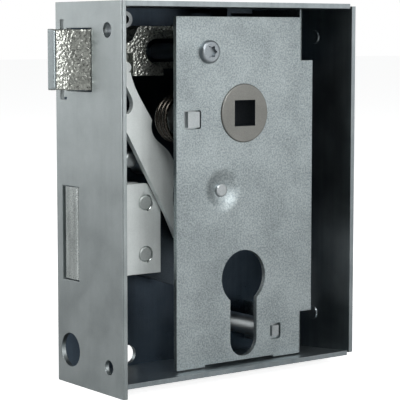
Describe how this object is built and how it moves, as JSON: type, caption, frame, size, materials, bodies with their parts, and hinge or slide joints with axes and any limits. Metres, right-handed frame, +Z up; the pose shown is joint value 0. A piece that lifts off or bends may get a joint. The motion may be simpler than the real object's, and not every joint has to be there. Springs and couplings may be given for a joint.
{
  "type": "mortise lock",
  "caption": "Gate mortise lock in a folded steel box open on one side, with a sprung bevelled latch, a deadbolt, a square-hole follower and a Euro profile cylinder hole.",
  "frame": {"origin": "on the forend's outer face, half way through the case's thickness, level with the cylinder's axis", "axes": "+X runs from the forend to the rear of the case, -Y is the open side with the cover plate, +Z is up"},
  "size_m": [0.0965, 0.036, 0.116],
  "materials": {
    "zinc_sheet": "plain zinc-plated sheet",
    "galvanised_cover": "galvanised sheet with fine grain",
    "screw_steel": "zinc-plated screw",
    "pillar_steel": "turned steel",
    "sintered": "smooth sintered steel",
    "casting": "coarse cast latch",
    "bright_plate": "bright stamped plate",
    "dark_plate": "dark oiled plate",
    "spring_steel": "spring wire"
  },
  "bodies": {
    "lock_case": {"case": "zinc_sheet", "forend": "zinc_sheet", "fixing_nut": "screw_steel", "cover_plate": "galvanised_cover", "cover_pillar": "pillar_steel", "cover_screw": "screw_steel", "centre_pillar": "pillar_steel", "lower_spacer": "pillar_steel", "spring_post": "pillar_steel", "follower_spring": "spring_steel", "latch_guide_pin": "pillar_steel", "latch_spring_bracket": "dark_plate", "latch_spring": "spring_steel", "lever_bush": "pillar_steel", "bolt_guide_pin": "pillar_steel", "detent_post": "pillar_steel", "detent_spring": "spring_steel", "stop_pillar": "pillar_steel"},
    "latch": {"latch_bolt": "casting", "latch_spring_rod": "pillar_steel"},
    "follower": {"follower": "sintered"},
    "lever": {"changeover_lever": "bright_plate", "lever_pivot": "pillar_steel"},
    "bolt": {"deadbolt": "bright_plate", "deadbolt_tail": "dark_plate", "deadbolt_rivets": "pillar_steel"}
  },
  "joints": [
    {"name": "latch_slide", "type": "slide", "parent": "lock_case", "child": "latch", "axis": [1, 0, 0], "range_m": [0, 0.0069], "stiffness_N_per_m": 250, "springref_m": -0.012, "deforming": ["latch_spring"]},
    {"name": "follower_turn", "type": "hinge", "parent": "lock_case", "child": "follower", "pos_m": [0.05, 0, 0.0512], "axis": [0, 1, 0], "range_deg": [0, 31], "deforming": ["follower_spring"]},
    {"name": "lever_swing", "type": "hinge", "parent": "lock_case", "child": "lever", "pos_m": [0.0293, 0, 0.0352], "axis": [0, 1, 0], "range_deg": [0, 12.2]},
    {"name": "deadbolt_slide", "type": "slide", "parent": "lock_case", "child": "bolt", "axis": [-1, 0, 0], "range_m": [0, 0.02], "deforming": ["detent_spring"]}
  ],
  "couplings": [
    {"joint": "follower_turn", "follows": "latch_slide", "rad_per_m": 78.41},
    {"joint": "lever_swing", "follows": "latch_slide", "rad_per_m": 30.85}
  ]
}
